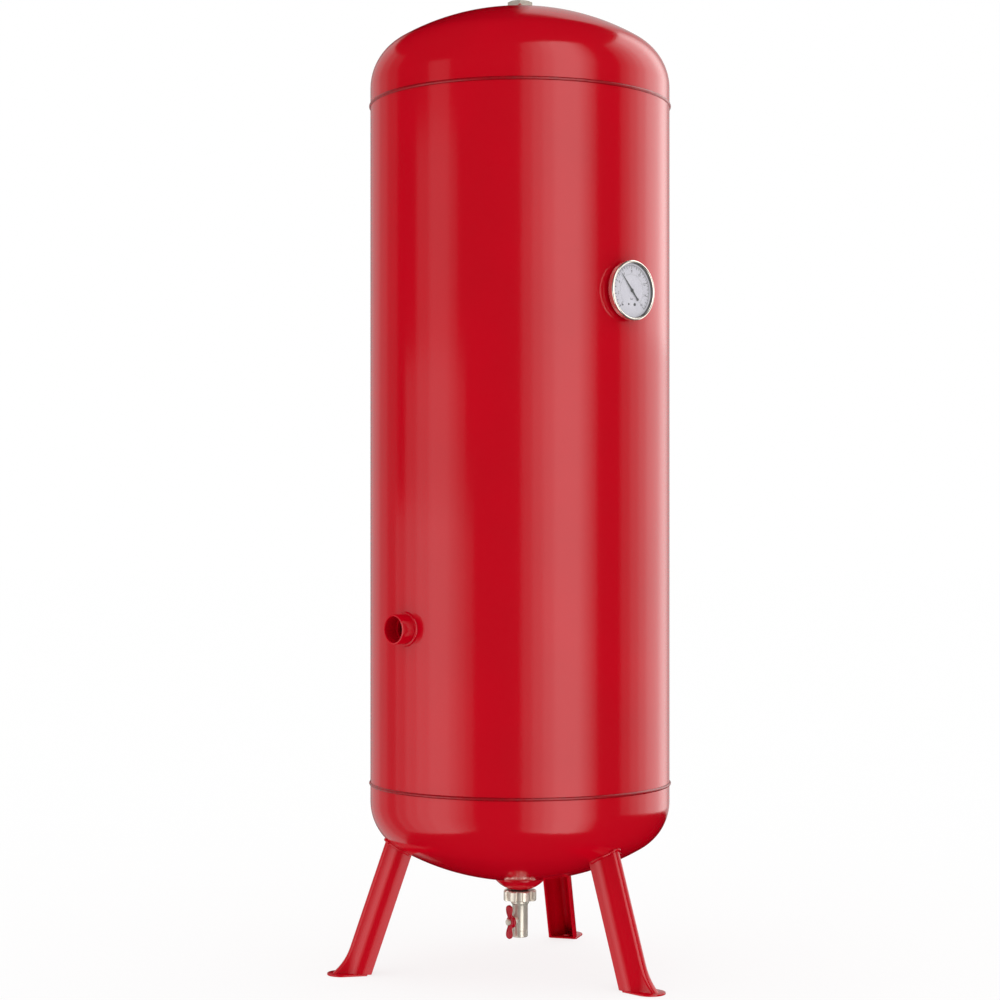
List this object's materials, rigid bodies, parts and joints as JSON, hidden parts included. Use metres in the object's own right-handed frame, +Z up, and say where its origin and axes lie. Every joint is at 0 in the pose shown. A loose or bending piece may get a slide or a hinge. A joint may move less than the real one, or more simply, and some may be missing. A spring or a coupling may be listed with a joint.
{
  "type": "air receiver tank",
  "caption": "Upright compressed-air receiver on splayed legs, with side sockets, plugged top port, dial pressure gauge and ball valve drain.",
  "frame": {"origin": "on the floor at the tank's vertical axis, the centre of the three feet's anchor circle", "axes": "+Z up along the tank's axis; the gauge faces -Y; the inlet socket is on -X, the outlet socket on +X"},
  "size_m": [0.5696, 0.5878, 1.615],
  "materials": {
    "red_paint": "gloss red coat over steel, slight orange peel",
    "nickel_plate": "nickel plate over turned brass",
    "polished_steel": "polished stainless sheet",
    "seal_rubber": "matt black",
    "white_seat": "waxy white",
    "handle_red": "gloss crimson coat over die casting",
    "window_glass": "clear, polished",
    "dial_white": "satin white with printed scale",
    "pointer_black": "satin black",
    "movement_brass": "clean, faintly brushed",
    "spring_steel": "bright",
    "plate_aluminium": "brushed, blank",
    "rivet_aluminium": "bright"
  },
  "bodies": {
    "root": {"shell": "red_paint", "top_head": "red_paint", "bottom_head": "red_paint", "lower_girth_weld": "red_paint", "upper_girth_weld": "red_paint", "long_seam_weld": "red_paint", "leg_front": "red_paint", "leg_right": "red_paint", "leg_left": "red_paint", "leg_welds": "red_paint", "inlet_socket": "red_paint", "outlet_socket": "red_paint", "top_socket": "red_paint", "gauge_socket": "red_paint", "socket_welds": "red_paint", "top_plug": "nickel_plate", "plug_washer": "seal_rubber", "drain_boss": "red_paint", "drain_washer": "seal_rubber", "drain_ring_nut": "nickel_plate", "valve_body": "nickel_plate", "valve_end": "nickel_plate", "valve_seats": "white_seat", "gauge_case": "polished_steel", "blow_out_plug": "seal_rubber", "gauge_connection": "movement_brass", "gauge_bezel": "polished_steel", "gauge_window": "window_glass", "window_gasket": "seal_rubber", "gauge_dial": "dial_white", "dial_screws": "pointer_black", "stop_pin": "pointer_black", "bourdon_tube": "movement_brass", "tube_tip": "movement_brass", "movement_back_plate": "movement_brass", "movement_front_plate": "movement_brass", "movement_pillars": "spring_steel", "hairspring": "spring_steel", "data_plate_bracket": "red_paint", "data_plate": "plate_aluminium", "plate_rivets": "rivet_aluminium"},
    "valve_rotor": {"valve_handle": "handle_red", "handle_nut": "nickel_plate", "valve_stem": "nickel_plate", "stem_o_rings": "seal_rubber", "valve_ball": "nickel_plate"},
    "sector": {"sector_gear": "movement_brass", "sector_arbor": "spring_steel"},
    "pointer": {"gauge_pointer": "pointer_black", "pointer_pinion": "movement_brass"},
    "link": {"tip_link": "spring_steel"}
  },
  "joints": [
    {"name": "drain_valve_turn", "type": "hinge", "parent": "root", "child": "valve_rotor", "pos_m": [0, 0, 0.077], "axis": [-1, 0, 0], "range_deg": [0, 90]},
    {"name": "sector_swing", "type": "hinge", "parent": "root", "child": "sector", "pos_m": [-0.0156, -0.2563, 1.11137], "axis": [0, 1, 0], "range_deg": [-14.75, 7.75]},
    {"name": "pointer_turn", "type": "hinge", "parent": "root", "child": "pointer", "pos_m": [0, -0.2563, 1.11137], "axis": [0, 1, 0], "range_deg": [-93, 177]},
    {"name": "link_hinge", "type": "hinge", "parent": "sector", "child": "link", "pos_m": [-0.0166, -0.2555, 1.11837], "axis": [0, 1, 0], "range_deg": [-7.75, 14.75]}
  ],
  "couplings": [
    {"joint": "pointer_turn", "follows": "sector_swing", "ratio": -12},
    {"joint": "link_hinge", "follows": "sector_swing", "ratio": -1}
  ]
}
